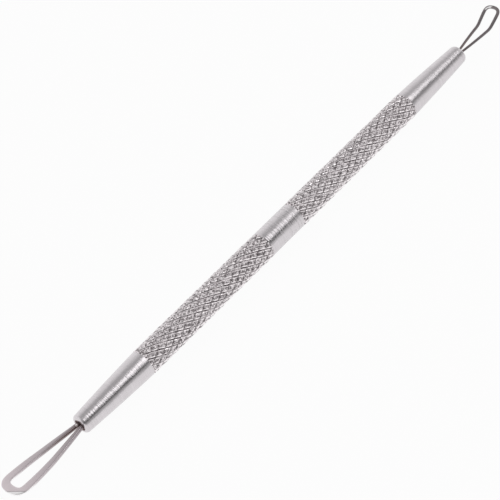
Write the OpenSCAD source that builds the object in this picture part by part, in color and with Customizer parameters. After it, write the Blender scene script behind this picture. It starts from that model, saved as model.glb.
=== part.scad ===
// Double-ended blackhead extractor
// A turned steel bar with two diamond-knurled grips tapers to a nose at each end.
// The wide loop, a wire flattened to a ribbon, is brazed into one nose. The fine
// loop, a thin wire with its outer half bent up, is brazed into the other.
// The bar lies along X with the middle of its plain centre band at the origin.
// The fine loop points to +X and the wide loop to -X. Both leave the bar in the
// XY plane, and +Z is the side that they rise to.

/* [Bar] */
// Diameter of the plain centre band and of each nose at its root
bar_d = 4.65; // [4:0.05:7]
// Length of the plain band between the two knurled grips
centre_len = 7.8; // [4:0.1:20]
// Diameter of each nose at its open end
nose_tip_d = 3.3; // [2.8:0.05:3.8]
// How far the side of a nose swells out of a straight cone
nose_belly = 0.06; // [0:0.01:0.2]
// Radius of the rounded edge round each nose's mouth
nose_edge_r = 0.5; // [0.1:0.05:0.6]
// Width of the chamfer at the mouth of each bore
mouth_chamfer = 0.1; // [0.05:0.01:0.15]

/* [Knurl] */
// Number of grooves that run each way round the bar
knurl_starts = 12; // [8:1:14]
// Length of one diamond along the bar, fitted to a whole number of half diamonds
knurl_pitch = 2.2; // [1.8:0.05:4]
// Depth of the grooves below the crests
knurl_depth = 0.22; // [0.1:0.01:0.4]
// How far the crests stand above the plain bar
knurl_rise = 0.05; // [0:0.01:0.15]
// Share of each diamond's length and width that its flat crest takes
knurl_land = 0.5; // [0.2:0.05:0.8]
// Plain ring left between a knurled grip and the shoulder beside it
knurl_runout = 0.15; // [0.1:0.05:0.5]

/* [Wide end] */
// Length of the knurled grip on the wide loop's side
wide_knurl_len = 28.7; // [15:0.1:45]
// Length of the nose that holds the wide loop
wide_nose_len = 14.2; // [11:0.1:25]
// Length of the wide loop outside the nose
wide_loop_len = 15.2; // [10:0.1:22]
// Width of the wide loop over its outer edges
wide_loop_w = 5.2; // [4:0.1:8]
// Diameter of the round wire that the wide loop is made from
wide_wire_d = 0.75; // [0.5:0.05:0.9]
// Width of the flattened wire at the wide loop's tip
wide_ribbon_w = 1.4; // [0.9:0.05:1.8]
// Thickness of the flattened wire at the wide loop's tip
wide_ribbon_t = 0.38; // [0.25:0.01:0.6]
// Depth of the wide loop's round end, from where its legs run parallel
wide_tip_depth = 1.6; // [0.8:0.1:3]
// Angle at which each leg of the wide loop leaves the nose
wide_spread = 8.5; // [2:0.5:14]
// Rise of the wide loop out of the bar's own plane, in degrees
wide_lift = 3; // [0:0.5:10]

/* [Fine end] */
// Length of the knurled grip on the fine loop's side
fine_knurl_len = 30; // [15:0.1:45]
// Length of the nose that holds the fine loop
fine_nose_len = 15.4; // [11:0.1:25]
// Length of the fine loop outside the nose, measured along the wire's bends
fine_loop_len = 11.7; // [9:0.1:18]
// Width of the fine loop over its outer edges
fine_loop_w = 3.35; // [2:0.05:5]
// Diameter of the round wire that the fine loop is made from
fine_wire_d = 0.4; // [0.25:0.05:0.7]
// Width of the fine loop's wire where its tip is pressed flatter
fine_ribbon_w = 0.46; // [0.3:0.01:0.8]
// Thickness of the fine loop's wire at its tip
fine_ribbon_t = 0.34; // [0.2:0.01:0.6]
// Depth of the fine loop's round end, from where its legs run parallel
fine_tip_depth = 1.15; // [0.5:0.05:2]
// Angle at which each leg of the fine loop leaves the nose
fine_spread = 9.5; // [2:0.5:14]
// Rise of the fine loop's inner half out of the bar's own plane, in degrees
fine_lift = 1.5; // [0:0.5:10]
// How far the fine loop's legs sit above the middle of their bore
fine_leg_rise = 0.2; // [0:0.05:0.3]
// Distance from the nose to the bend in the fine loop
fine_bend_at = 7.5; // [4:0.1:8]
// Angle of the bend that lifts the fine loop's outer half
fine_bend = 28; // [0:1:60]
// Inside radius of that bend
fine_bend_r = 2.5; // [1:0.1:4]

/* [Seats in the noses] */
// Length of the legs held inside each nose
leg_seat = 6; // [3:0.1:8]
// Gap between the two legs of a loop where they leave the nose
leg_gap = 0.1; // [0.05:0.01:0.3]
// Room for braze between the legs and the wall of their bore
braze_room = 0.2; // [0.1:0.01:0.25]
// Depth of the braze's face below the mouth of the bore
braze_recess = 0.45; // [0.2:0.05:1.5]
// How far the braze's face sinks in the middle
braze_dip = 0.12; // [0:0.01:0.2]
// Drilled depth left empty behind the ends of the legs
bore_spare = 0.5; // [0.2:0.1:1]

/* [Hidden] */

bar_colour = [0.79, 0.79, 0.80];
loop_colour = [0.66, 0.64, 0.65];
braze_colour = [0.72, 0.68, 0.62];

// Facets on what is turned or drilled
turned_fn = 72;
// Sections along each stretch of an outline or a wire
edge_steps = 8;
belly_steps = 8;
leg_steps = 20;
tip_steps = 12;
dip_steps = 6;
// Points round a wire's section
wide_sides = 12;
fine_sides = 10;

// Half the point angle of a twist drill
drill_half_angle = 59;
// Length of knurled bar that runs on inside the plain bar beside it
knurl_root = 0.4;
// Where a leg's curve is steered, as shares of the leg's length
leg_steer_1 = 0.33;
leg_steer_2 = 0.69;
// A loop's end is squarer than an ellipse, whose power is 2
tip_power = 2.5;
// A round wire has a section of power 2, a pressed one is squarer
round_power = 2;
pressed_power = 3.2;
// The lift is a wide bend just outside the nose
lift_at = 1.2;
lift_r = 12;

wide_bore_r = bore_r(wide_wire_d, 0);
fine_bore_r = bore_r(fine_wire_d, fine_leg_rise);
wide_mouth_x = centre_len / 2 + wide_knurl_len + wide_nose_len;
fine_mouth_x = centre_len / 2 + fine_knurl_len + fine_nose_len;
crest_r = bar_d / 2 + knurl_rise;
groove_r = crest_r - knurl_depth;

// Distance of each leg to the side of the bar's axis where it leaves the nose
function leg_y(wire_d) = (wire_d + leg_gap) / 2;

// Radius of a bore that takes both legs of a loop and the braze round them
function bore_r(wire_d, rise) = norm([leg_y(wire_d), rise]) + wire_d / 2 + braze_room;

// Outline of a nose as [radius, x], with its blind bore, from the mouth at x = 0
function nose_outline(nose_len, hole_r) =
    let (
        tip_r = nose_tip_d / 2,
        root_r = bar_d / 2,
        lip = tip_r - hole_r - mouth_chamfer,
        edge_r = min(nose_edge_r, lip * 0.9),
        bore_len = leg_seat + bore_spare,
        edge = [for (i = [0:edge_steps])
            let (a = 90 * i / edge_steps)
            [tip_r - edge_r + edge_r * sin(a), edge_r * (cos(a) - 1)]],
        side = [for (i = [1:belly_steps])
            let (t = i / belly_steps)
            [tip_r + (root_r - tip_r) * t + 4 * nose_belly * t * (1 - t),
             -edge_r - (nose_len - edge_r) * t]]
    )
    concat(
        [[0, -bore_len - hole_r / tan(drill_half_angle)],
         [hole_r, -bore_len],
         [hole_r, -mouth_chamfer],
         [hole_r + mouth_chamfer, 0]],
        edge,
        side,
        [[0, -nose_len]]
    );

// Turns an outline of [radius, x] points about the X axis
module turn_about_x() {
    rotate([0, 90, 0])
        rotate_extrude($fn = turned_fn)
            children();
}

// Moves what is drawn outward along +X from a mouth to the fine or the wide nose
module at_fine_mouth() {
    translate([fine_mouth_x, 0, 0])
        children();
}

module at_wide_mouth() {
    rotate([0, 0, 180])
        translate([wide_mouth_x, 0, 0])
            children();
}

module nose(nose_len, hole_r) {
    turn_about_x()
        polygon(nose_outline(nose_len, hole_r));
}

// Diamond knurl. Grooves of both hands cross at the even points of a grid that is
// wrapped round the bar, [column, row], and a flat-topped diamond stands at each
// odd point. A row of half diamonds, sloped at the end, closes each side.

// Corners of the diamond at an odd grid point, anticlockwise seen from outside
function diamond_corners(i, j, rows) =
    j == 0 ? [[i - 1, 0], [i, 0], [i + 1, 0], [i, 1]]
    : j == rows ? [[i - 1, rows], [i, rows - 1], [i + 1, rows], [i, rows]]
    : [[i - 1, j], [i, j - 1], [i + 1, j], [i, j + 1]];

// Middle of a diamond, which for a half diamond is a third of the way in
function diamond_middle(i, j, rows) = [i, j == 0 ? 1 / 3 : j == rows ? rows - 1 / 3 : j];

function is_groove(p) = (p.x + p.y) % 2 == 0;

module knurled_grip(grip_len) {
    columns = 2 * knurl_starts;
    cut_len = grip_len - 2 * knurl_runout;
    rows = max(2, round(2 * cut_len / knurl_pitch));
    step = [360 / columns, cut_len / rows];

    // A grid point, or a point between them, on the bar at a radius
    function wrap(p, r) =
        [knurl_runout + p.y * step.y, r * cos(p.x * step.x), r * sin(p.x * step.x)];
    function slot(i) = floor(((i + columns) % columns) / 2);

    row_ends = [0, rows];
    crossings = [for (j = [0:rows], k = [0:knurl_starts - 1]) [2 * k + j % 2, j]];
    diamonds = [for (j = [0:rows], k = [0:knurl_starts - 1]) [2 * k + (j + 1) % 2, j]];
    end_middles = [for (j = row_ends, k = [0:knurl_starts - 1]) [2 * k + (j + 1) % 2, j]];
    root_x = [-knurl_root, grip_len + knurl_root];
    roots = [for (x = root_x, i = [0:columns - 1])
        [x, groove_r * cos(i * step.x), groove_r * sin(i * step.x)]];
    lands = [for (d = diamonds)
        let (middle = diamond_middle(d.x, d.y, rows))
        for (corner = diamond_corners(d.x, d.y, rows))
            wrap(middle + knurl_land * (corner - middle), crest_r)];

    // Where each kind of point starts in the list of all points
    first_end = len(crossings);
    first_root = first_end + len(end_middles);
    first_land = first_root + len(roots);
    points = concat(
        [for (p = crossings) wrap(p, groove_r)],
        [for (p = end_middles) wrap(p, groove_r)],
        roots,
        lands
    );

    function ground(p) =
        is_groove(p)
            ? p.y * knurl_starts + slot(p.x)
            : first_end + (p.y == 0 ? 0 : knurl_starts) + slot(p.x);

    sides = [for (k = [0:len(diamonds) - 1])
        let (
            base = [for (c = diamond_corners(diamonds[k].x, diamonds[k].y, rows)) ground(c)],
            top = [for (c = [0:3]) first_land + 4 * k + c]
        )
        for (c = [0:3])
            let (n = (c + 1) % 4)
            each [[base[c], top[c], top[n]], [base[c], top[n], base[n]]]];
    crests = [for (k = [0:len(diamonds) - 1])
        let (t = first_land + 4 * k)
        each [[t, t + 3, t + 1], [t + 1, t + 3, t + 2]]];
    ends = [for (e = [0, 1], i = [0:columns - 1])
        let (
            n = (i + 1) % columns,
            a = ground([i, row_ends[e]]),
            b = ground([n, row_ends[e]]),
            c = first_root + e * columns + i,
            d = first_root + e * columns + n
        )
        each e == 0 ? [[a, b, d], [a, d, c]] : [[a, d, b], [a, c, d]]];
    caps = [
        [for (i = [0:columns - 1]) first_root + i],
        [for (i = [columns - 1:-1:0]) first_root + columns + i]
    ];
    polyhedron(points, concat(sides, crests, ends, caps), convexity = 4);
}

module handle() {
    color(bar_colour)
        union() {
            rotate([0, 90, 0])
                cylinder(d = bar_d, h = centre_len, center = true, $fn = turned_fn);
            translate([centre_len / 2, 0, 0])
                knurled_grip(fine_knurl_len);
            rotate([0, 0, 180])
                translate([centre_len / 2, 0, 0])
                    knurled_grip(wide_knurl_len);
            at_fine_mouth()
                nose(fine_nose_len, fine_bore_r);
            at_wide_mouth()
                nose(wide_nose_len, wide_bore_r);
        }
}

// Where a wire laid flat ends up once its bends are made. Each bend is
// [distance, angle, radius], and the result is [x, z, heading].
function laid(s, bends, i = 0, at = [0, 0], heading = 0, from = 0) =
    let (
        bend = i < len(bends) ? bends[i] : [0, 0, 0],
        arc_len = bend[2] * bend[1] * PI / 180,
        start = i < len(bends) ? bend[0] - arc_len / 2 : s,
        run = min(s, start) - from,
        p = at + run * [cos(heading), sin(heading)]
    )
    s <= start || i == len(bends)
        ? [p.x, p.y, heading]
        : let (
            turned = min(s - start, arc_len) / bend[2] * 180 / PI,
            next = heading + turned,
            q = p + bend[2] * [sin(next) - sin(heading), cos(heading) - cos(next)]
        )
        s - start <= arc_len
            ? [q.x, q.y, next]
            : laid(s, bends, i + 1, q, next, start + arc_len);

function bezier(a, b, c, d, t) =
    pow(1 - t, 3) * a + 3 * pow(1 - t, 2) * t * b + 3 * (1 - t) * t * t * c + pow(t, 3) * d;

// Half of a loop's centre line as [distance, y], from the leg's end to the tip
function half_loop(loop_len, half_w, wire_d, tip_w, tip_depth, spread) =
    let (
        leg_len = loop_len - tip_w / 2 - tip_depth,
        start = [0, leg_y(wire_d)],
        steer_1 = start + leg_steer_1 * leg_len * [1, tan(spread)],
        steer_2 = [leg_steer_2 * leg_len, half_w],
        end = [leg_len, half_w],
        leg = [for (i = [0:leg_steps]) bezier(start, steer_1, steer_2, end, i / leg_steps)],
        tip = [for (i = [1:tip_steps])
            let (a = 90 * i / tip_steps)
            end - [0, half_w] + [tip_depth * pow(sin(a), 2 / tip_power),
                                 half_w * pow(cos(a), 2 / tip_power)]]
    )
    concat([[-leg_seat, start.y]], leg, tip);

// One point of a wire's section, across and through, on a curve of the given power
function section_point(a, w, t, power) =
    [w / 2 * sign(cos(a)) * pow(abs(cos(a)), 2 / power),
     t / 2 * sign(sin(a)) * pow(abs(sin(a)), 2 / power)];

// A loop in the frame of its mouth: round at the legs, pressed flat towards the tip
module wire_loop(loop_len, loop_w, wire_d, tip_w, tip_t, tip_depth, spread, bends, sides) {
    half = half_loop(loop_len, (loop_w - tip_w) / 2, wire_d, tip_w, tip_depth, spread);
    last = len(half) - 1;
    line = concat(half, [for (i = [last - 1:-1:0]) [half[i].x, -half[i].y]]);
    rings = len(line);
    leg_len = loop_len - tip_w / 2 - tip_depth;

    points = [for (i = [0:rings - 1])
        let (
            s = line[i],
            way = line[min(i + 1, rings - 1)] - line[max(i - 1, 0)],
            along = way / norm(way),
            place = laid(s.x, bends),
            out = [cos(place[2]), 0, sin(place[2])],
            up = [-sin(place[2]), 0, cos(place[2])],
            across = -along.y * out + along.x * [0, 1, 0],
            pressed = max(0, min(1, s.x / leg_len)),
            w = wire_d + (tip_w - wire_d) * pressed,
            t = wire_d + (tip_t - wire_d) * pressed,
            power = round_power + (pressed_power - round_power) * pressed
        )
        for (k = [0:sides - 1])
            let (q = section_point(360 * k / sides, w, t, power))
            [place.x, s.y, place.y] + q.x * across + q.y * up];
    skin = [for (i = [0:rings - 2], k = [0:sides - 1])
        let (
            n = (k + 1) % sides,
            a = i * sides + k,
            b = i * sides + n,
            c = a + sides,
            d = b + sides
        )
        each [[a, c, d], [a, d, b]]];
    caps = [
        [for (k = [0:sides - 1]) k],
        [for (k = [sides - 1:-1:0]) (rings - 1) * sides + k]
    ];
    polyhedron(points, concat(skin, caps), convexity = 6);
}

module wide_loop_wire() {
    wire_loop(wide_loop_len, wide_loop_w, wide_wire_d, wide_ribbon_w, wide_ribbon_t,
              wide_tip_depth, wide_spread, [[lift_at, wide_lift, lift_r]], wide_sides);
}

module fine_loop_wire() {
    bends = [[lift_at, fine_lift, lift_r], [fine_bend_at, fine_bend, fine_bend_r]];
    translate([0, 0, fine_leg_rise])
        wire_loop(fine_loop_len, fine_loop_w, fine_wire_d, fine_ribbon_w, fine_ribbon_t,
                  fine_tip_depth, fine_spread, bends, fine_sides);
}

module wide_loop() {
    color(loop_colour)
        at_wide_mouth()
            wide_loop_wire();
}

module fine_loop() {
    color(loop_colour)
        at_fine_mouth()
            fine_loop_wire();
}

// Braze that fills a bore round the legs, with a face that sinks in the middle
module braze_plug(hole_r) {
    face = [for (i = [0:dip_steps])
        let (t = i / dip_steps)
        [hole_r * t, -braze_recess - braze_dip * (1 - t * t)]];
    turn_about_x()
        polygon(concat([[0, -leg_seat]], face, [[hole_r, -leg_seat]]));
}

module wide_braze() {
    color(braze_colour)
        at_wide_mouth()
            difference() {
                braze_plug(wide_bore_r);
                wide_loop_wire();
            }
}

module fine_braze() {
    color(braze_colour)
        at_fine_mouth()
            difference() {
                braze_plug(fine_bore_r);
                fine_loop_wire();
            }
}

handle();
wide_loop();
fine_loop();
wide_braze();
fine_braze();
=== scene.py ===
# %% [markdown]
# # A double-ended blackhead extractor
#
# The real tool is one bar of stainless steel, turned on a lathe. Two stretches of it
# are knurled for grip, and each end tapers to a nose with a blind bore. A wire loop is
# brazed into each bore: a wide one that was pressed flat, and a fine one with its outer
# half bent up.
#
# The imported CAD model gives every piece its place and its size. This script loads it
# as a fixed frame, remakes the visible pieces with finer shapes, and gives each one the
# finish that the real metal has.

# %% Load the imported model
import math

import bmesh
import bpy
from mathutils import Matrix, Vector
from mathutils.geometry import interpolate_bezier


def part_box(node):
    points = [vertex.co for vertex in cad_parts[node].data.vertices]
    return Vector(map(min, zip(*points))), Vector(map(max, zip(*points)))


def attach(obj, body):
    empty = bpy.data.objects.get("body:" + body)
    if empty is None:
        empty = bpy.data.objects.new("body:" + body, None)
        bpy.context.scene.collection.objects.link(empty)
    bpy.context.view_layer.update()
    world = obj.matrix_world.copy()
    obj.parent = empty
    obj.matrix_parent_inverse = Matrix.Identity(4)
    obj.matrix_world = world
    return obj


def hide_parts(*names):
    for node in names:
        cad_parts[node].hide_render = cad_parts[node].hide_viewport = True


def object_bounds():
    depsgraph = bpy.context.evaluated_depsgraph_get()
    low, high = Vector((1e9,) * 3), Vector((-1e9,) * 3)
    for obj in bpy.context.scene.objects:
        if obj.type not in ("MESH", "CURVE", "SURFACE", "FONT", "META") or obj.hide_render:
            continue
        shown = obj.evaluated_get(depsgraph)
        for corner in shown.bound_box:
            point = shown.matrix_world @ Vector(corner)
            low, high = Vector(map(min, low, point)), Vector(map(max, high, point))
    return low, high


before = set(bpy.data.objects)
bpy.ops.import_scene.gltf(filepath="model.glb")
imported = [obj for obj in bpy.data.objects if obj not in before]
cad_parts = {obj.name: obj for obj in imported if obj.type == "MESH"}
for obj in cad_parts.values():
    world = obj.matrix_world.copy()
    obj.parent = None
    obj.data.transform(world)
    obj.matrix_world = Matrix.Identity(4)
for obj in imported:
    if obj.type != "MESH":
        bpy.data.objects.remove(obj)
cad_low, cad_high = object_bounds()
MM = 0.001
print("CAD box, mm:", [round(side / MM, 2) for side in cad_high - cad_low])

# %% [markdown]
# ## Where things are
#
# Blender works in metres here, so a size in millimetres is written as a number times
# MM. The bar lies along X, with the middle of its plain band at the origin. The noses'
# mouths are the two ends of the CAD handle, and the crests of its knurl are its
# highest points, so those places are read from the frame. The other sizes are the ones
# that a machinist would find on the drawing.

# %% Sizes of the bar
handle_low, handle_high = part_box("handle")
WIDE_MOUTH = -handle_low.x
FINE_MOUTH = handle_high.x
CREST_R = handle_high.z

BAR_R = 4.65 * MM / 2
CENTRE_LEN = 7.8 * MM
WIDE_GRIP_LEN = 28.7 * MM
FINE_GRIP_LEN = 30 * MM
WIDE_NOSE_LEN = WIDE_MOUTH - CENTRE_LEN / 2 - WIDE_GRIP_LEN
FINE_NOSE_LEN = FINE_MOUTH - CENTRE_LEN / 2 - FINE_GRIP_LEN
print("noses, mm:", round(WIDE_NOSE_LEN / MM, 2), round(FINE_NOSE_LEN / MM, 2))
print("crests, mm:", round(CREST_R / MM, 3))

# %% [markdown]
# ## The camera
#
# The photograph was taken from above and from the wide loop's side, with the camera
# turned so that the bar runs from corner to corner. A camera is easiest to repeat when
# it is written the way a photographer would say it: a point to aim at, a direction, a
# distance, and a turn about the line of sight. A long lens keeps the two ends nearly
# the same size.

# %% Camera
AIM = Vector((-5.656, 1.319, 0)) * MM
AZIMUTH, ELEVATION, ROLL = math.radians(-35.72), math.radians(41.34), math.radians(-18.99)
DISTANCE = 282.5 * MM
LENS = 126.8

towards_camera = Vector((
    math.sin(AZIMUTH) * math.cos(ELEVATION),
    -math.cos(AZIMUTH) * math.cos(ELEVATION),
    math.sin(ELEVATION),
))
camera = bpy.data.objects.new("camera", bpy.data.cameras.new("camera"))
bpy.context.scene.collection.objects.link(camera)
level = (-towards_camera).to_track_quat("-Z", "Y").to_matrix().to_4x4()
camera.matrix_world = (
    Matrix.Translation(AIM + towards_camera * DISTANCE) @ level @ Matrix.Rotation(ROLL, 4, "Z")
)
camera.data.lens = LENS
camera.data.clip_start, camera.data.clip_end = 10 * MM, 10
bpy.context.scene.camera = camera
print("camera at, mm:", [round(c / MM, 1) for c in camera.matrix_world.translation])

# %% [markdown]
# ## Small tools for edit mode
#
# Modelling by hand goes round in a circle: select something, run an operator on it,
# select the next thing. These helpers do the selecting. Everything is deselected
# first, because an operator acts on all that is selected, the CAD nodes among them.

# %% Selecting
def nothing_selected():
    if bpy.context.object and bpy.context.object.mode != "OBJECT":
        bpy.ops.object.mode_set(mode="OBJECT")
    bpy.ops.object.select_all(action="DESELECT")


def edit():
    bpy.ops.object.mode_set(mode="EDIT")


def done_editing():
    bpy.ops.object.mode_set(mode="OBJECT")


def pick(kind, passes):
    """Selects just the vertices, edges or faces that pass a test."""
    bpy.ops.mesh.select_mode(type=kind)
    bpy.ops.mesh.select_all(action="DESELECT")
    mesh = bmesh.from_edit_mesh(bpy.context.object.data)
    items = {"VERT": mesh.verts, "EDGE": mesh.edges, "FACE": mesh.faces}[kind]
    for item in [item for item in items if passes(item)]:
        item.select_set(True)
    mesh.select_flush_mode()
    bmesh.update_edit_mesh(bpy.context.object.data)

# %% [markdown]
# What to pick is said by a test, a function that answers for one vertex, edge or face.
# Rings and rims are found by where they are, so no test depends on a vertex's number.

# %% Tests to pick by
NEAR = 0.002 * MM


def at_x(x):
    """A test for what lies wholly in the plane at x."""
    def passes(item):
        corners = [item] if isinstance(item, bmesh.types.BMVert) else item.verts
        return all(abs(v.co.x - x) < NEAR for v in corners)
    return passes


def runs_lengthwise(edge):
    along = edge.verts[1].co - edge.verts[0].co
    return abs(along.x) > 0.99 * along.length


def from_axis(point):
    return math.hypot(point.y, point.z)


def on_rim(x, radius):
    """A test for edges that lie on a circle round the bar."""
    def passes(edge):
        return at_x(x)(edge) and all(abs(from_axis(v.co) - radius) < NEAR for v in edge.verts)
    return passes

# %% [markdown]
# A lathe makes round things, and so does the cylinder primitive. Every turned piece
# starts as a cylinder that lies along X at its own place. Its transform is applied at
# once, so that the numbers in edit mode are places in the frame.

# %% A turned blank
ROUND_STEPS = 96


def turned_blank(name, from_x, to_x, radius, steps=ROUND_STEPS):
    nothing_selected()
    bpy.ops.mesh.primitive_cylinder_add(
        vertices=steps, radius=radius, depth=to_x - from_x,
        location=((from_x + to_x) / 2, 0, 0), rotation=(0, math.radians(90), 0),
    )
    blank = bpy.context.object
    blank.name = blank.data.name = name
    bpy.ops.object.transform_apply(location=True, rotation=True, scale=True)
    return blank


def finish_piece(piece, node, smooth_angle=35):
    """Smooths a piece, hangs it on the body, hides the CAD node it stands for, and prints its
    triangles.
    """
    nothing_selected()
    piece.select_set(True)
    bpy.context.view_layer.objects.active = piece
    bpy.ops.object.transform_apply(location=True, rotation=True, scale=True)
    bpy.ops.object.shade_smooth_by_angle(angle=math.radians(smooth_angle))
    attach(piece, "root")
    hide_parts(node)
    triangles = sum(len(face.vertices) - 2 for face in piece.data.polygons)
    print(piece.name, "has", triangles, "triangles")

# %% [markdown]
# ## The plain band
#
# Between the grips the bar keeps the diameter that it was first turned to. Its two
# edges are shoulders, and a lathe tool never leaves those knife-sharp, so they get a
# small bevel that catches the light.

# %% Plain band
SHOULDER_BREAK = 0.08 * MM


def break_edge(x, radius, width, segments=3):
    pick("EDGE", on_rim(x, radius))
    bpy.ops.mesh.bevel(offset=width, segments=segments, affect="EDGES")


centre_band = turned_blank("centre_band", -CENTRE_LEN / 2, CENTRE_LEN / 2, BAR_R)
edit()
break_edge(-CENTRE_LEN / 2, BAR_R, SHOULDER_BREAK)
break_edge(CENTRE_LEN / 2, BAR_R, SHOULDER_BREAK)
done_editing()
finish_piece(centre_band, "handle")

# %% [markdown]
# ## The noses
#
# Each nose is a long taper with a slight belly. It starts as a blank, is cut into
# rings by a subdivide of its lengthwise edges, and each ring is then scaled to the
# taper's radius there. The mouth's face is inset and pushed in to make the bore, and
# poking the bore's floor leaves the cone of the drill's point. The wide outer lip and
# the thin inner one are bevels.

# %% Noses
NOSE_TIP_R = 3.3 * MM / 2
NOSE_BELLY = 0.06 * MM
LIP_R = 0.49 * MM
MOUTH_CHAMFER = 0.1 * MM
NOSE_RINGS = 15
BORE_DEPTH = 6.5 * MM
WIDE_BORE_R = 1.0 * MM
FINE_BORE_R = 0.72 * MM
DRILL_HALF_ANGLE = math.radians(59)
HALF_TURN = math.radians(180)


def nose_radius(t):
    """Radius of a nose from its root, at 0, to its mouth, at 1."""
    return BAR_R + (NOSE_TIP_R - BAR_R) * t + 4 * NOSE_BELLY * t * (1 - t)


def make_nose(name, mouth_x, nose_len, bore_r, turn):
    nose = turned_blank(name, mouth_x - nose_len, mouth_x, BAR_R)
    edit()
    pick("EDGE", runs_lengthwise)
    bpy.ops.mesh.subdivide(number_cuts=NOSE_RINGS)
    for ring in range(1, NOSE_RINGS + 2):
        t = ring / (NOSE_RINGS + 1)
        x = mouth_x - nose_len * (1 - t)
        pick("VERT", at_x(x))
        k = nose_radius(t) / BAR_R
        bpy.ops.transform.resize(value=(1, k, k), center_override=(x, 0, 0))
    pick("FACE", at_x(mouth_x))
    bpy.ops.mesh.inset(thickness=NOSE_TIP_R - bore_r)
    bpy.ops.mesh.extrude_region_move(TRANSFORM_OT_translate={"value": (-BORE_DEPTH, 0, 0)})
    bpy.ops.mesh.poke(offset=-bore_r / math.tan(DRILL_HALF_ANGLE))
    break_edge(mouth_x, NOSE_TIP_R, LIP_R, segments=9)
    break_edge(mouth_x, bore_r, MOUTH_CHAMFER)
    break_edge(mouth_x - nose_len, BAR_R, SHOULDER_BREAK)
    done_editing()
    nose.rotation_euler.z = turn
    finish_piece(nose, "handle")
    return nose


wide_nose = make_nose("wide_nose", WIDE_MOUTH, WIDE_NOSE_LEN, WIDE_BORE_R, HALF_TURN)
fine_nose = make_nose("fine_nose", FINE_MOUTH, FINE_NOSE_LEN, FINE_BORE_R, 0)

# %% [markdown]
# ## The diamond knurl
#
# A knurling tool presses two hardened wheels into the turning bar. One rolls in
# left-handed grooves and the other right-handed ones, and a flat-topped diamond is left
# between four crossings. Cutting 24 helical grooves out of a bar would take slow and
# fragile booleans. The shape repeats hundreds of times, so one diamond is modelled,
# flat, with a groove floor, a flank and a rounded rim. Array modifiers lay out a sheet
# of them, and a Simple Deform modifier rolls the sheet round the bar.
#
# First comes the one diamond: a face with four corners, inset four times. The first
# inset leaves the groove's floor, and each later one also lifts the face a little. One
# subdivide is enough, since the shape repeats so often. The second wheel pressed less
# deep, so the two quarters beside its grooves are squeezed towards the top. Each point
# also gets two numbers, its distances from the two grooves, which the finish reads
# later. The sheet is modelled standing on edge, its outside facing -Y, because that is
# the way that the bend about X expects it.

# %% One diamond
KNURL_STARTS = 12
KNURL_PITCH = 2.2 * MM
KNURL_RUNOUT = 0.15 * MM
KNURL_DEPTH = 0.22 * MM
GROOVE_R = CREST_R - KNURL_DEPTH
STEP_ROUND = 2 * math.pi * GROOVE_R / KNURL_STARTS
# Width and rise of each inset, in mm: groove floor, flank, and the two of the rim
DIAMOND_INSETS = [(0.05, 0), (0.045, 0.08), (0.09, 0.075), (0.08, 0.04)]
DIAMOND_RISE = sum(rise for _, rise in DIAMOND_INSETS) * MM
DIAMOND_CUTS = 1
SECOND_DEPTH = 0.75


def by_second_groove(vert):
    """A test for the two quarters whose outer edge the lighter wheel pressed."""
    return vert.co.x * vert.co.z < -NEAR * NEAR


def make_diamond(name, pitch):
    nothing_selected()
    bpy.ops.mesh.primitive_circle_add(
        vertices=4, radius=1, fill_type="NGON", rotation=(math.radians(90), 0, 0)
    )
    diamond = bpy.context.object
    diamond.name = diamond.data.name = name
    diamond.scale = (pitch / 2, STEP_ROUND / 2, 1)
    bpy.ops.object.transform_apply(location=True, rotation=True, scale=True)
    edit()
    bpy.ops.mesh.select_all(action="SELECT")
    for width, rise in DIAMOND_INSETS:
        bpy.ops.mesh.inset(thickness=width * MM, depth=rise * MM)
    bpy.ops.mesh.select_all(action="SELECT")
    bpy.ops.mesh.subdivide(number_cuts=DIAMOND_CUTS)
    pick("VERT", by_second_groove)
    bpy.ops.transform.resize(
        value=(1, SECOND_DEPTH, 1), center_override=(0, -DIAMOND_RISE, 0)
    )
    done_editing()
    half_wide = pitch * STEP_ROUND / 2 / math.hypot(pitch, STEP_ROUND)
    for groove, lean in (("from_first", 1), ("from_second", -1)):
        marks = diamond.data.attributes.new(groove, "FLOAT", "POINT")
        for v, mark in zip(diamond.data.vertices, marks.data):
            across = abs(2 * v.co.x / pitch + lean * 2 * v.co.z / STEP_ROUND)
            mark.value = (1 - across) * half_wide / MM
    edit()
    return diamond

# %% [markdown]
# Three tools work on the sheet. An array repeats the diamonds, and the roll bends the
# sheet into a tube. The wheels stop just short of each shoulder, in a shallow runout.
# So each open end of the tube is drawn in to the runout's floor, carried on into the
# neighbour, where nobody sees it, and closed there with a face.

# %% Array, roll and end
ROOT_LEN = 0.25 * MM
RUNOUT_R = BAR_R - 0.08 * MM


def array(piece, name, count, offset):
    rows = piece.modifiers.new(name, "ARRAY")
    rows.count = count
    rows.use_relative_offset, rows.use_constant_offset = False, True
    rows.constant_offset_displace = offset
    bpy.ops.object.modifier_apply(modifier=name)


def roll_up(piece):
    """Bends a sheet that stands in the XZ plane into a tube about the X axis."""
    height = [v.co.z for v in piece.data.vertices]
    bend = piece.modifiers.new("roll", "SIMPLE_DEFORM")
    bend.deform_method, bend.deform_axis = "BEND", "X"
    bend.angle = (max(height) - min(height)) / GROOVE_R
    bpy.ops.object.modifier_apply(modifier="roll")
    piece.location.y = -GROOVE_R
    bpy.ops.object.transform_apply(location=True, rotation=False, scale=False)


def close_end(x, step):
    """Draws the open end at x to the runout's floor, then on to a closed root."""
    pick("EDGE", at_x(x))
    bpy.ops.mesh.extrude_region_move()
    mesh = bmesh.from_edit_mesh(bpy.context.object.data)
    for v in mesh.verts:
        if v.select:
            k = RUNOUT_R / from_axis(v.co)
            v.co.y, v.co.z = v.co.y * k, v.co.z * k
    bpy.ops.mesh.extrude_region_move(TRANSFORM_OT_translate={"value": (step, 0, 0)})
    bpy.ops.mesh.edge_face_add()

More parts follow.
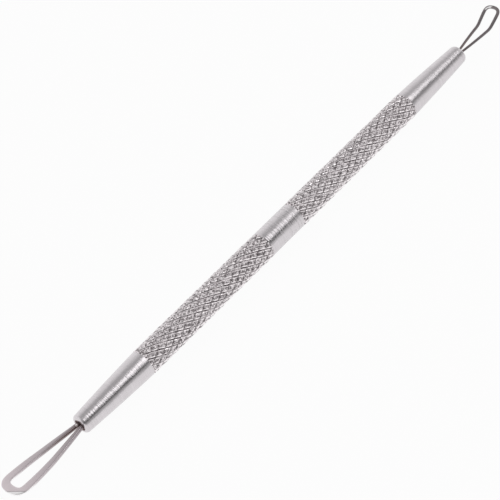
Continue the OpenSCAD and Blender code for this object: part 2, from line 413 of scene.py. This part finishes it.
# %% [markdown]
# No two real diamonds are pressed alike, because the bar springs and the wheels slip. A
# Displace modifier with a cloudy texture moves each point a little. No diamond may
# stand higher than the crests, so what sticks out is pulled back to them.

# %% Unevenness
UNEVEN = 0.12 * MM
UNEVEN_SIZE = 0.42 * MM


def make_uneven(piece):
    wander = bpy.data.textures.new(piece.name + "_wander", "CLOUDS")
    wander.noise_scale = UNEVEN_SIZE
    uneven = piece.modifiers.new("uneven", "DISPLACE")
    uneven.texture, uneven.strength = wander, UNEVEN
    bpy.ops.object.modifier_apply(modifier="uneven")
    for v in piece.data.vertices:
        k = min(1, CREST_R / from_axis(v.co))
        v.co.y, v.co.z = v.co.y * k, v.co.z * k

# %% [markdown]
# The diamond and a copy half a step along and half a step round make a pair, and the
# pair is arrayed in both directions. The pitch is stretched a little, so that a whole
# number of half diamonds fits each grip. The sheet is too long at first. Bisecting it
# through the middle of a row of diamonds leaves half diamonds at each end, as the
# turned shoulders do on the real bar.

# %% Knurled grips
def make_grip(name, start_x, grip_len, turn):
    cut_len = grip_len - 2 * KNURL_RUNOUT
    half_rows = round(2 * cut_len / KNURL_PITCH)
    pitch = 2 * cut_len / half_rows
    grip = make_diamond(name, pitch)
    bpy.ops.mesh.select_all(action="SELECT")
    bpy.ops.mesh.duplicate_move(
        TRANSFORM_OT_translate={"value": (pitch / 2, 0, STEP_ROUND / 2)}
    )
    done_editing()
    array(grip, "along", half_rows // 2 + 2, (pitch, 0, 0))
    array(grip, "round", KNURL_STARTS, (0, 0, STEP_ROUND))
    edit()
    for x, side in ((0, -1), (cut_len, 1)):
        bpy.ops.mesh.select_all(action="SELECT")
        bpy.ops.mesh.bisect(plane_co=(x, 0, 0), plane_no=(side, 0, 0), clear_outer=True)
    done_editing()
    roll_up(grip)
    edit()
    bpy.ops.mesh.select_all(action="SELECT")
    bpy.ops.mesh.remove_doubles(threshold=NEAR)
    close_end(0, -KNURL_RUNOUT - ROOT_LEN)
    close_end(cut_len, KNURL_RUNOUT + ROOT_LEN)
    bpy.ops.mesh.select_all(action="SELECT")
    bpy.ops.mesh.normals_make_consistent(inside=False)
    done_editing()
    make_uneven(grip)
    grip.location.x = start_x + KNURL_RUNOUT
    bpy.ops.object.transform_apply(location=True, rotation=False, scale=False)
    grip.rotation_euler.z = turn
    print(name, "has", half_rows / 2, "diamonds along,", round(pitch / MM, 3), "mm each")
    finish_piece(grip, "handle")
    return grip


wide_grip = make_grip("wide_grip", CENTRE_LEN / 2, WIDE_GRIP_LEN, HALF_TURN)
fine_grip = make_grip("fine_grip", CENTRE_LEN / 2, FINE_GRIP_LEN, 0)

# %% [markdown]
# ## The wire loops
#
# Each loop starts as a straight round wire. A press flattens its middle, and then it
# is bent round, so the model goes the same way: a long thin cylinder, cut into short
# rings, pressed, and laid along a curve by a Curve modifier. A second Curve modifier
# follows the side view, and makes the gentle lift and the fine loop's bend.
#
# The plan is a Bezier curve, whose handles steer it. The side view is a chain of
# points. One function makes both kinds.

# %% Curves
CURVE_STEPS = 96


def curve_object(name, kind, places):
    """A curve through places. Each is a point, or for Bezier a point and two handles."""
    data = bpy.data.curves.new(name, "CURVE")
    data.dimensions = "3D"
    data.resolution_u = CURVE_STEPS
    spline = data.splines.new(kind)
    if kind == "BEZIER":
        spline.bezier_points.add(len(places) - 1)
        for knot, (before, place, after) in zip(spline.bezier_points, places):
            knot.handle_left_type = knot.handle_right_type = "FREE"
            knot.handle_left, knot.co, knot.handle_right = before, place, after
    else:
        spline.points.add(len(places) - 1)
        for point, place in zip(spline.points, places):
            point.co = (*place, 1)
    curve = bpy.data.objects.new(name, data)
    bpy.context.scene.collection.objects.link(curve)
    return curve

# %% [markdown]
# The curve in plan has five stretches: a straight seat inside the bore, a leg, the
# round tip, and the other leg and seat. Only the handles at its points decide how
# square the tip is and how the legs swell.

# %% The curve in plan
LEG_SEAT = 6 * MM
LEG_GAP = 0.1 * MM
LEG_STEER_1, LEG_STEER_2 = 0.33, 0.69
TIP_SQUARENESS = 0.688
LENGTH_STEPS = 200


def plan_of_loop(name, wire_d, half_w, leg_len, tip_depth, spread):
    """The wire's middle line, seen from above, from one leg's end to the other's."""
    leg_y = (wire_d + LEG_GAP) / 2
    mouth, shoulder = Vector((0, leg_y, 0)), Vector((leg_len, half_w, 0))
    seat, tip = Vector((-LEG_SEAT, leg_y, 0)), Vector((leg_len + tip_depth, 0, 0))
    steer_1 = mouth + LEG_STEER_1 * leg_len * Vector((1, math.tan(spread), 0))
    steer_2 = Vector((LEG_STEER_2 * leg_len, half_w, 0))
    to_tip = shoulder + Vector((TIP_SQUARENESS * tip_depth, 0, 0))
    round_tip = tip + Vector((0, TIP_SQUARENESS * half_w, 0))
    third = Vector((LEG_SEAT / 3, 0, 0))
    half = [
        (seat, seat, seat + third),
        (mouth - third, mouth, steer_1),
        (steer_2, shoulder, to_tip),
    ]
    flip = Matrix.Diagonal((1, -1, 1))
    other = [(flip @ c, flip @ b, flip @ a) for a, b, c in reversed(half)]
    return curve_object(name, "BEZIER", half + [(round_tip, tip, flip @ round_tip)] + other)


def stretch_lengths(curve):
    """Length of each stretch between two points of a Bezier curve."""
    knots = curve.data.splines[0].bezier_points
    lengths = []
    for a, b in zip(knots, knots[1:]):
        line = interpolate_bezier(a.co, a.handle_right, b.handle_left, b.co, LENGTH_STEPS)
        lengths.append(sum((q - p).length for p, q in zip(line, line[1:])))
    return lengths

# %% [markdown]
# The side view is a chain of straights and round bends, each bend given by where it
# is, its angle and its radius. It is walked in small steps.

# %% The curve in side view
BEND_STEPS = 16
LIFT_AT, LIFT_R = 1.2 * MM, 12 * MM


def side_view(name, bends, reach):
    at, heading, walked = Vector((-LEG_SEAT, 0, 0)), 0.0, -LEG_SEAT
    places = [at.copy()]

    def walk(distance):
        nonlocal at
        at = at + distance * Vector((math.cos(heading), 0, math.sin(heading)))
        places.append(at.copy())

    for middle, angle, radius in bends:
        arc = radius * angle
        walk(middle - arc / 2 - walked)
        for _ in range(BEND_STEPS):
            heading += angle / BEND_STEPS / 2
            walk(arc / BEND_STEPS)
            heading += angle / BEND_STEPS / 2
        walked = middle + arc / 2
    walk(reach - walked)
    return curve_object(name, "POLY", places)

# %% [markdown]
# Pressing a round wire between two flat jaws makes it wide and thin, with flat faces
# and rounded sides. The section here is a curve between a circle, of power 2, and a
# rounded oblong. It changes evenly along each leg and is fully pressed round the tip.

# %% Pressing and bending a wire
ROUND_POWER, PRESSED_POWER = 2, 5
# Two rounds of cuts, since one round of the operator makes a hundred at the most
WIRE_CUTS = 17
SIDE_SPARE = 2 * MM


def press(wire, wire_d, tip_w, tip_t, flat_from, flat_to, ramp):
    """Flattens a wire that lies along X, fully between two places, less beyond them."""
    for v in wire.data.vertices:
        beyond = max(flat_from - v.co.x, v.co.x - flat_to, 0)
        pressed = max(0, 1 - beyond / ramp)
        power = ROUND_POWER + (PRESSED_POWER - ROUND_POWER) * pressed
        half_w = (wire_d + (tip_w - wire_d) * pressed) / 2
        half_t = (wire_d + (tip_t - wire_d) * pressed) / 2
        across, through = 2 * v.co.y / wire_d, 2 * v.co.z / wire_d
        v.co.y = math.copysign(half_w * abs(across) ** (2 / power), across)
        v.co.z = math.copysign(half_t * abs(through) ** (2 / power), through)


def lay_along(piece, curve):
    bend = piece.modifiers.new("lay", "CURVE")
    bend.object, bend.deform_axis = curve, "POS_X"
    bpy.ops.object.modifier_apply(modifier="lay")
    bpy.data.objects.remove(curve)


def make_loop(name, node, mouth_x, turn, rise, sides, wire_d, tip_w, tip_t, loop_len,
              loop_w, tip_depth, spread, bends):
    leg_len = loop_len - tip_w / 2 - tip_depth
    half_w = (loop_w - tip_w) / 2
    plan = plan_of_loop(name + "_plan", wire_d, half_w, leg_len, tip_depth, spread)
    seat, leg, tip = stretch_lengths(plan)[:3]
    length = 2 * (seat + leg + tip)
    wire = turned_blank(name, 0, length, wire_d / 2, steps=sides)
    edit()
    for _ in range(2):
        pick("EDGE", runs_lengthwise)
        bpy.ops.mesh.subdivide(number_cuts=WIRE_CUTS)
    done_editing()
    press(wire, wire_d, tip_w, tip_t, seat + leg, length - seat - leg, leg)
    lay_along(wire, plan)
    wire.location.x = LEG_SEAT
    bpy.ops.object.transform_apply(location=True, rotation=False, scale=False)
    lay_along(wire, side_view(name + "_side", bends, loop_len + SIDE_SPARE))
    turn_about_bar = Matrix.Rotation(turn, 4, "Z")
    wire.data.transform(turn_about_bar @ Matrix.Translation((mouth_x, 0, rise)))
    print(name, "is", round(length / MM, 1), "mm of wire")
    finish_piece(wire, node, smooth_angle=50)
    return wire

# %% [markdown]
# The two loops differ only in their sizes. The wide one is lifted gently, and the fine
# one has its outer half bent up, so that its tip can be pressed round a pore.

# %% The two loops
WIDE_WIRE_D, FINE_WIRE_D = 0.75 * MM, 0.4 * MM
FINE_RISE = 0.12 * MM

wide_wire = make_loop(
    "wide_loop_wire", "wide_loop", WIDE_MOUTH, HALF_TURN, rise=0, sides=32,
    wire_d=WIDE_WIRE_D, tip_w=1.4 * MM, tip_t=0.38 * MM,
    loop_len=15.2 * MM, loop_w=5.2 * MM, tip_depth=1.6 * MM, spread=math.radians(8.5),
    bends=[(LIFT_AT, math.radians(1.5), LIFT_R), (7 * MM, math.radians(2.5), LIFT_R)],
)
fine_wire = make_loop(
    "fine_loop_wire", "fine_loop", FINE_MOUTH, 0, rise=FINE_RISE, sides=20,
    wire_d=FINE_WIRE_D, tip_w=0.57 * MM, tip_t=0.32 * MM,
    loop_len=11.685 * MM, loop_w=3.35 * MM, tip_depth=1.15 * MM, spread=math.radians(9.5),
    bends=[(LIFT_AT, math.radians(1.5), LIFT_R), (7.5 * MM, math.radians(28), 2.5 * MM)],
)

# %% [markdown]
# ## The braze
#
# Silver-coloured braze fills each bore round the legs. Molten braze wets steel, so it
# climbs a little up the wall of the bore and up each wire, and sinks between them. A
# plug's face is inset into rings, and each point of them is then moved along the bore by
# how near it is to the wall and to a leg.
#
# On the wide loop a drop ran out and set as a bead on one leg, just outside the mouth.
# It is a small ball, stretched along the leg, sunk into it and joined to the plug.

# %% Bead
BEAD_R = 0.2 * MM
BEAD_SHAPE = (1.4, 1, 1)
BEAD_FROM_MOUTH = Vector((0.25, -0.28, 0.27)) * MM


def add_bead(plug, place):
    nothing_selected()
    bpy.ops.mesh.primitive_ico_sphere_add(
        subdivisions=3, radius=BEAD_R, location=place, scale=BEAD_SHAPE
    )
    plug.select_set(True)
    bpy.context.view_layer.objects.active = plug
    bpy.ops.object.join()

# %% Braze plugs
BRAZE_RECESS = 0.45 * MM
BRAZE_RINGS = 20
# How high the braze climbs, and how far from the wall or leg it still does so
WALL_CLIMB, WALL_REACH = 0.16 * MM, 0.14 * MM
LEG_CLIMB, LEG_REACH = 0.26 * MM, 0.25 * MM
SINK = 0.12 * MM


def make_braze(name, node, mouth_x, turn, bore_r, wire_d, rise, has_bead):
    face_x = mouth_x - BRAZE_RECESS
    leg_y = (wire_d + LEG_GAP) / 2
    plug = turned_blank(name, mouth_x - LEG_SEAT, face_x, bore_r)
    edit()
    pick("FACE", at_x(face_x))
    for _ in range(BRAZE_RINGS):
        bpy.ops.mesh.inset(thickness=bore_r / (BRAZE_RINGS + 1))
    bpy.ops.mesh.poke()
    done_editing()
    for v in plug.data.vertices:
        if abs(v.co.x - face_x) > NEAR:
            continue
        to_wall = bore_r - from_axis(v.co)
        legs = [math.hypot(v.co.y - s * leg_y, v.co.z - rise) - wire_d / 2 for s in (-1, 1)]
        to_leg = max(0, min(legs))
        wall_climb = WALL_CLIMB * math.exp(-to_wall / WALL_REACH)
        v.co.x += wall_climb + LEG_CLIMB * math.exp(-to_leg / LEG_REACH) - SINK
    if has_bead:
        add_bead(plug, Vector((mouth_x, 0, 0)) + BEAD_FROM_MOUTH)
    plug.rotation_euler.z = turn
    finish_piece(plug, node, smooth_angle=60)
    return plug


wide_plug = make_braze(
    "wide_braze_fillet", "wide_braze", WIDE_MOUTH, HALF_TURN, WIDE_BORE_R, WIDE_WIRE_D,
    rise=0, has_bead=True,
)
fine_plug = make_braze(
    "fine_braze_fillet", "fine_braze", FINE_MOUTH, 0, FINE_BORE_R, FINE_WIRE_D,
    rise=FINE_RISE, has_bead=False,
)

# %% [markdown]
# ## Shader maths in plain Python
#
# A procedural finish is a sum of small effects, and a tree of Math nodes is hard to
# read. The class below wraps one socket. Adding, multiplying or comparing two of them
# adds the Math node that does it, so a finish can be written as a formula.

# %% Values that a shader computes
class Value:
    def __init__(self, tree, socket):
        self.tree, self.socket = tree, socket

    def maths(self, operation, *operands, clamp=False):
        node = self.tree.nodes.new("ShaderNodeMath")
        node.operation, node.use_clamp = operation, clamp
        for slot, operand in zip(node.inputs, operands):
            if isinstance(operand, Value):
                self.tree.links.new(operand.socket, slot)
            else:
                slot.default_value = operand
        return Value(self.tree, node.outputs[0])

    def __add__(self, other):
        return self.maths("ADD", self, other)

    def __sub__(self, other):
        return self.maths("SUBTRACT", self, other)

    def __rsub__(self, other):
        return self.maths("SUBTRACT", other, self)

    def __mul__(self, other):
        return self.maths("MULTIPLY", self, other)

    def __truediv__(self, other):
        return self.maths("DIVIDE", self, other)

    def __pow__(self, other):
        return self.maths("POWER", self, other)

    __radd__, __rmul__ = __add__, __mul__

    def size(self):
        return self.maths("ABSOLUTE", self)

    def clamped(self):
        return self.maths("ADD", self, 0, clamp=True)

    def between(self, low, high):
        """0 at low, 1 at high and an even ramp between."""
        return ((self - low) / (high - low)).clamped()

# %% [markdown]
# The second class holds a material or a world. One method adds any node, with its
# settings and what its sockets get. The others are the few things that every finish
# here needs: where a point is, noise, a mix of two colours, and metal with a bump.

# %% A finish made of nodes
class Finish:
    """A material or a world whose nodes are added one line at a time."""

    def __init__(self, owner):
        owner.use_nodes = True
        self.tree = owner.node_tree
        self.tree.nodes.clear()

    def node(self, kind, settings=None, sockets=None):
        """Adds a node: its settings first, then the values or links of its sockets."""
        node = self.tree.nodes.new(kind)
        for name, setting in (settings or {}).items():
            if name == "stops":
                ramp = node.color_ramp.elements
                while len(ramp) < len(setting):
                    ramp.new(1)
                for stop, (place, colour) in zip(ramp, setting):
                    stop.position, stop.color = place, (*colour, 1)
            else:
                setattr(node, name, setting)
        for name, value in (sockets or {}).items():
            slot = node.inputs[name]
            if isinstance(value, Value):
                self.tree.links.new(value.socket, slot)
            elif isinstance(value, bpy.types.NodeSocket):
                self.tree.links.new(value, slot)
            else:
                slot.default_value = value
        return node

    def value(self, node, output=0):
        return Value(self.tree, node.outputs[output])

    def place(self):
        """Where a point of the piece is, in mm, as x, y, z and distance from the axis."""
        here = self.node("ShaderNodeTexCoord").outputs["Object"]
        split = self.node("ShaderNodeSeparateXYZ", sockets={"Vector": here})
        x, y, z = (self.value(split, i) / MM for i in range(3))
        return x, y, z, (y * y + z * z) ** 0.5

    def vector(self, x, y, z):
        return self.node("ShaderNodeCombineXYZ", sockets={"X": x, "Y": y, "Z": z}).outputs[0]

    def noise(self, vector, scale, detail=2, roughness=0.5):
        """Soft random values near 0.5 on a pattern of so many grains a unit."""
        return self.value(self.node(
            "ShaderNodeTexNoise", {},
            {"Vector": vector, "Scale": scale, "Detail": detail, "Roughness": roughness},
        ))

    def mix(self, factor, a, b):
        """A colour that goes from a, at 0, to b, at 1."""
        node = self.node("ShaderNodeMix", {"data_type": "RGBA"}, {0: factor, 6: a, 7: b})
        return node.outputs[2]

    def metal(self, colour, roughness, height):
        """Ends a material in a metal shader, with a height in mm as its bump."""
        bump = self.node("ShaderNodeBump", {}, {"Height": height * MM, "Distance": 1})
        shader = self.node("ShaderNodeBsdfPrincipled", {}, {
            "Base Color": colour, "Roughness": roughness, "Metallic": 1,
            "Normal": bump.outputs[0],
        })
        self.node("ShaderNodeOutputMaterial", {}, {"Surface": shader.outputs[0]})


def wear(piece, material):
    piece.data.materials.clear()
    piece.data.materials.append(material)

# %% [markdown]
# ## Turned steel
#
# The tool's point leaves a fine thread of rings round the bar, a few hundredths of a
# millimetre apart and a few thousandths deep. They are too fine to see one by one, but
# they break up every highlight along the bar, so they are a bump that depends on X
# alone. Slower waves come from a tool that wore or chattered. Where fingers and cloths
# have rubbed, the metal is a little smoother and brighter. Brazing scorched the bores,
# so the steel turns brown where it is nearer to the axis than the bore's wall.

# %% Turned steel
STEEL = (0.72, 0.685, 0.705, 1)
STEEL_DULL = (0.58, 0.55, 0.565, 1)
SCORCHED = (0.5, 0.42, 0.41, 1)
# Rings and waves to a mm, and their heights and the scorched edge in mm
RINGS, WAVES = 14, 2.2
RING_HEIGHT, PULL_HEIGHT = 0.009, 0.05
SCORCH_FROM, SCORCH_TO = 0.02, 0.08


def steel_rings(f, x, y, z):
    """Heights in mm of the marks that a lathe tool leaves round a bar."""
    wobble = f.noise(f.vector(x * 0.3, y, z), 0.6)
    fine = f.noise(f.vector(x * RINGS + wobble * 0.8, 0, 0), 1, detail=3, roughness=0.65)
    slow = f.noise(f.vector(x * WAVES + wobble * 0.3, 0, 0), 1, detail=3, roughness=0.6)
    return fine, slow


def turned_steel(name, roughness, marks, bore_r=0):
    material = bpy.data.materials.new(name)
    f = Finish(material)
    x, y, z, radius = f.place()
    fine, slow = steel_rings(f, x, y, z)
    handling = f.noise(f.vector(x, y, z), 0.45, detail=3)
    dull = (fine * 0.4 + slow * 0.6).between(0.4, 0.65) * 0.7 + handling.between(0.5, 0.7) * 0.2
    rough = roughness + fine * 0.08 + handling * 0.06
    pull = f.noise(f.vector(x * 0.6, y, z), 0.9)
    height = fine * RING_HEIGHT + slow * marks + pull * PULL_HEIGHT
    steel = f.mix(dull, STEEL, STEEL_DULL)
    bore = bore_r / MM
    scorched = 1 - radius.between(bore + SCORCH_FROM, bore + SCORCH_TO)
    f.metal(f.mix(scorched, steel, SCORCHED), rough + scorched * 0.3, height)
    return material


wear(wide_nose, turned_steel("wide_nose_finish", 0.18, 0.06, WIDE_BORE_R))
wear(fine_nose, turned_steel("fine_nose_finish", 0.25, 0.06, FINE_BORE_R))
wear(centre_band, turned_steel("band_finish", 0.2, 0.2))

# %% [markdown]
# ## Knurled steel
#
# The grooves were pressed, not cut, and hold a film of dirt and oil. Their dark colour
# is partly that dirt and partly painted shade, for the shade that falls into them.
# Fingers rub the rims of the diamonds bright. The tops, which are what is left of the
# turned bar, keep its rings and a dull grey scale, with bright patches where they are
# rubbed most. The two distances that were written on the diamond say where a point
# lies, which makes masks of the right shape without any drawn texture.

# %% Knurled steel
# Dark colour of the grooves: dirt, and painted shade for the shade that falls in them
GROOVE_DIRT_AND_SHADE = (0.1, 0.086, 0.091, 1)
SCALE = (0.33, 0.3, 0.31, 1)
BURNISHED = (1, 0.95, 0.965, 1)
# Grains, patches of groove dirt and painted shade, and rubbed lumps to a mm
GRAINS, PATCHES, LUMPS = 9, 1.1, 3


def knurled_steel():
    material = bpy.data.materials.new("knurled_steel_finish")
    f = Finish(material)
    x, y, z, _ = f.place()
    fine, _ = steel_rings(f, x, y, z)
    from_first, from_second = (
        f.value(f.node("ShaderNodeAttribute", {"attribute_name": groove}), "Fac")
        for groove in ("from_first", "from_second")
    )
    crest = from_first.between(0.045, 0.09) * from_second.between(-0.02, 0.085)
    here = f.vector(x, y, z)
    grain = f.noise(here, GRAINS, detail=3)
    patches = f.noise(here, PATCHES).between(0.38, 0.6)
    # Darker away from the crests: dirt in the grooves, and painted shade there too
    dirt_and_shade = ((1 - crest) * (0.48 + patches * 0.4 + grain * 0.35)).clamped()
    top = from_first.between(0.2, 0.3)
    lumps = f.noise(here, LUMPS)
    rubbed = lumps.between(0.44, 0.58)
    lightened = f.mix((1 - rubbed) * (0.05 + top * 0.95), BURNISHED, SCALE)
    roughness = 0.14 + top * 0.4 + grain * 0.06
    height = fine * 0.006 * crest + grain * 0.006 + lumps * 0.1
    f.metal(f.mix(dirt_and_shade, lightened, GROOVE_DIRT_AND_SHADE), roughness, height)
    return material


knurled_steel_finish = knurled_steel()
for piece in (wide_grip, fine_grip):
    wear(piece, knurled_steel_finish)

# %% [markdown]
# ## Loop steel
#
# Brazing heats the wire, and hot steel grows a film of oxide: dark at the nose, then
# paler where it stayed cool. The finish is a ramp of colours along the distance from
# the mouth. Near the mouth, the sides of the legs that face each other are painted a
# darker brown, as painted shade between them. Near the tips, light is painted in: the
# wide loop's edges are painted bright, as wear and as a painted highlight, and the fine
# loop has a painted highlight in an oval spot. The wide tip's front has a painted
# highlight up to a straight line, with a painted dark line beside it. Drawing and
# pressing leave faint lines along the wire.
#
# First come the spot and the line, each as a distance that a mask can be made of.

# %% The worn spot and the ground line
# Middle, half sizes and lean of the oval painted bright as a highlight on the fine loop, in mm
SPOT_X, SPOT_Y = 59.82, 0.83
SPOT_LONG, SPOT_WIDE = 0.6, 0.2
SPOT_LEAN = math.radians(-55)
# A point on the line where the painted highlight on the wide tip's front begins, in mm, and the
# way outwards
LIT_LINE_X, LIT_LINE_Y = -61.57, -0.74
LIT_LINE_WAY = math.radians(212)


def outside_spot(x, y):
    """0 at the middle of the painted highlight's oval and 1 at its edge."""
    east, north = x - SPOT_X, y - SPOT_Y
    along = east * math.cos(SPOT_LEAN) + north * math.sin(SPOT_LEAN)
    across = north * math.cos(SPOT_LEAN) - east * math.sin(SPOT_LEAN)
    return ((along / SPOT_LONG) ** 2 + (across / SPOT_WIDE) ** 2) ** 0.5


def past_lit_line(x, y):
    """How far in mm a point lies beyond the line."""
    return (x - LIT_LINE_X) * math.cos(LIT_LINE_WAY) + (y - LIT_LINE_Y) * math.sin(LIT_LINE_WAY)

# %% Loop steel
# Colours: painted shade between the legs, random grime, a painted dark line beside the wide
# tip's painted highlight, and the white of wear and painted highlights
SHADE_BETWEEN_LEGS = (0.28, 0.22, 0.215, 1)
GRIME = (0.08, 0.07, 0.075, 1)
SHADE_LINE = (0.34, 0.325, 0.33, 1)
WEAR_AND_HIGHLIGHT_WHITE = (0.97, 0.955, 0.96, 1)


def loop_steel(name, mouth, loop_len, stops, highlight_in_spot):
    material = bpy.data.materials.new(name)
    f = Finish(material)
    x, y, z, _ = f.place()
    facing = f.node("ShaderNodeSeparateXYZ", {}, {
        "Vector": f.node("ShaderNodeNewGeometry").outputs["Normal"],
    })
    here = f.vector(x, y, z)
    cloudy = f.noise(here, 1.3, detail=3)
    reach = x.size() - mouth / MM + cloudy * 1.6 - 0.8
    ramp = f.node("ShaderNodeValToRGB", {"stops": stops}, {"Fac": reach.between(0, loop_len)})
    grain = f.noise(here, 12, detail=3)
    drawn = f.noise(f.vector(x * 0.7, y * 9, z * 9), 1, detail=2)
    cool = f.mix((grain * 0.3).clamped(), ramp.outputs[0], GRIME)
    # Painted shade, browned, on the sides of the legs that face each other near the mouth
    inward = (0.5 - y.between(-0.05, 0.05)) * f.value(facing, 1)
    shade_between_legs = inward.between(0, 0.25) * (1 - reach.between(3, 8))
    with_painted_shade = f.mix(shade_between_legs * 0.9, cool, SHADE_BETWEEN_LEGS)
    upward = f.value(facing, 2).size()
    # The fine loop gets a painted highlight in an oval on its tip's flat faces
    if highlight_in_spot:
        outside = outside_spot(x, y) + grain * 0.3
        lightened = upward.between(0.6, 0.8) * (1 - outside.between(0.9, 1.5))
    else:
        # Wide loop: a painted highlight past a straight line, a painted dark line just before
        # it, and near the tip its edges painted bright, as wear and as a painted highlight
        past = past_lit_line(x, y)
        line_highlight = past.between(-0.02, 0.06)
        with_painted_shade = f.mix(past.between(-0.25, -0.05) * (1 - line_highlight) * 0.6, with_painted_shade, SHADE_LINE)
        edges = (1 - upward.between(0.35, 0.75)) * reach.between(loop_len - 4, loop_len - 2.5)
        lightened = (edges + line_highlight).clamped()
    shade = f.mix(lightened, with_painted_shade, WEAR_AND_HIGHLIGHT_WHITE)
    f.metal(shade, 0.3 + grain * 0.12 - lightened * 0.1, grain * 0.003 + drawn * 0.004)
    return material


wear(wide_wire, loop_steel("wide_loop_finish", WIDE_MOUTH, 15, [
    (0, (0.42, 0.37, 0.385)), (0.3, (0.58, 0.52, 0.54)),
    (0.6, (0.68, 0.61, 0.635)), (1, (0.86, 0.775, 0.8)),
], highlight_in_spot=False))
wear(fine_wire, loop_steel("fine_loop_finish", FINE_MOUTH, 11.5, [
    (0, (0.14, 0.115, 0.115)), (0.4, (0.2, 0.175, 0.18)),
    (0.8, (0.22, 0.195, 0.2)), (1, (0.28, 0.25, 0.255)),
], highlight_in_spot=True))

# %% [markdown]
# ## Braze
#
# Braze is paler and warmer than steel. Inside the bore, burnt flux has stained it brown
# in specks. The bead outside the mouth stayed bright.

# %% Braze
BRAZE = (0.93, 0.88, 0.87, 1)
BURNT_FLUX = (0.36, 0.28, 0.26, 1)


def braze_finish(name, mouth):
    material = bpy.data.materials.new(name)
    f = Finish(material)
    x, y, z, _ = f.place()
    here = f.vector(x, y, z)
    lumps, specks = f.noise(here, 3, detail=3), f.noise(here, 11, detail=3)
    inside = 1 - x.size().between(mouth / MM, mouth / MM + 0.1)
    burnt = specks.between(0.42, 0.56) * inside
    roughness = 0.16 + inside * 0.06 + burnt * 0.35
    height = (lumps * 0.03 + specks * 0.01) * inside
    f.metal(f.mix(burnt, BRAZE, BURNT_FLUX), roughness, height)
    return material


wear(wide_plug, braze_finish("wide_braze_finish", WIDE_MOUTH))
wear(fine_plug, braze_finish("fine_braze_finish", FINE_MOUTH))

# %% [markdown]
# ## The table and the light
#
# Polished metal has hardly any colour of its own. What is seen in it is the studio, so
# the studio decides the bands along the bar: a white table below, a soft lamp above
# the camera, a grey ceiling, pale walls beyond the ends, and the dark of the room in
# front, which draws the thin dark line.

# %% Table
FLOOR_SIDE = 4
PAPER = (0.8, 0.8, 0.8, 1)
WHITE = (1, 1, 1, 1)
# Share of plain white light in what the camera and the metal see of the table
GLOW_SHARE = 0.95

nothing_selected()
bpy.ops.mesh.primitive_plane_add(size=FLOOR_SIDE, location=(0, 0, cad_low.z))
table = bpy.context.object
table.name = "table"
bpy.ops.object.transform_apply(location=True, rotation=True, scale=True)

table_paint = bpy.data.materials.new("table_paint")
f = Finish(table_paint)
rays = f.node("ShaderNodeLightPath")
seen = f.value(rays, "Is Camera Ray") + f.value(rays, "Is Glossy Ray")
paper = f.node("ShaderNodeBsdfDiffuse", {}, {"Color": PAPER})
glow = f.node("ShaderNodeEmission", {}, {"Color": WHITE, "Strength": 1})
both = f.node("ShaderNodeMixShader", {}, {
    0: (seen * GLOW_SHARE).clamped(), 1: paper.outputs[0], 2: glow.outputs[0],
})
f.node("ShaderNodeOutputMaterial", {}, {"Surface": both.outputs[0]})
wear(table, table_paint)

# %% [markdown]
# The world is seen only in the metal. Its grey goes by the angle round the bar, up from
# the front, over the top and down to the back. Near the ends of the bar it turns pale.
# To the camera itself it is white, like the paper behind the real tool.

# %% The air of the studio
# Angle as a share of a half turn, and how light the studio is there
AIR = [
    (0.0, 0.6), (0.09, 0.45), (0.15, 0.08), (0.24, 0.08), (0.32, 0.45), (0.6, 0.47),
    (0.72, 0.78), (0.85, 0.94), (1.0, 0.98),
]
WALLS = (0.95, 0.95, 0.95, 1)

world = bpy.data.worlds.new("studio")
bpy.context.scene.world = world
f = Finish(world)
way = f.node("ShaderNodeTexCoord").outputs["Generated"]
split = f.node("ShaderNodeSeparateXYZ", {}, {"Vector": way})
forward, upward = f.value(split, 1), f.value(split, 2)
round_bar = upward.maths("ARCTAN2", upward, forward * -1) / math.pi
stops = [(place, (grey, grey, grey)) for place, grey in AIR]
air = f.node("ShaderNodeValToRGB", {"stops": stops}, {"Fac": round_bar})
rays = f.node("ShaderNodeLightPath")
sideways = f.value(split, 0)
behind = round_bar.between(0.48, 0.62)
ends = (sideways * -1).between(0.15, 0.5) * behind + sideways.between(0.75, 0.95)
around = f.mix(ends, air.outputs[0], WALLS)
colour = f.mix(f.value(rays, "Is Camera Ray"), around, WHITE)
sky = f.node("ShaderNodeBackground", {}, {"Color": colour, "Strength": 1})
f.node("ShaderNodeOutputWorld", {}, {"Surface": sky.outputs[0]})

# %% [markdown]
# The one lamp is a softbox above the camera. Its wide face gives the soft shadow, and
# it is the bright streak that runs along the noses and the band.

# %% Lamp
LAMP_WAY = Vector((0.41, -0.45, 0.79))
LAMP_DISTANCE = 0.6
LAMP_LEN, LAMP_WIDTH = 0.42, 0.36
LAMP_POWER = 0.6

lamp = bpy.data.lights.new("key_softbox", "AREA")
lamp.shape, lamp.size, lamp.size_y = "RECTANGLE", LAMP_LEN, LAMP_WIDTH
lamp.energy = LAMP_POWER
softbox = bpy.data.objects.new("key_softbox", lamp)
place = LAMP_WAY.normalized() * LAMP_DISTANCE
aimed = (-place).to_track_quat("-Z", "Y").to_matrix().to_4x4()
softbox.matrix_world = Matrix.Translation(place) @ aimed
bpy.context.scene.collection.objects.link(softbox)
bpy.context.scene.view_settings.view_transform = "Standard"
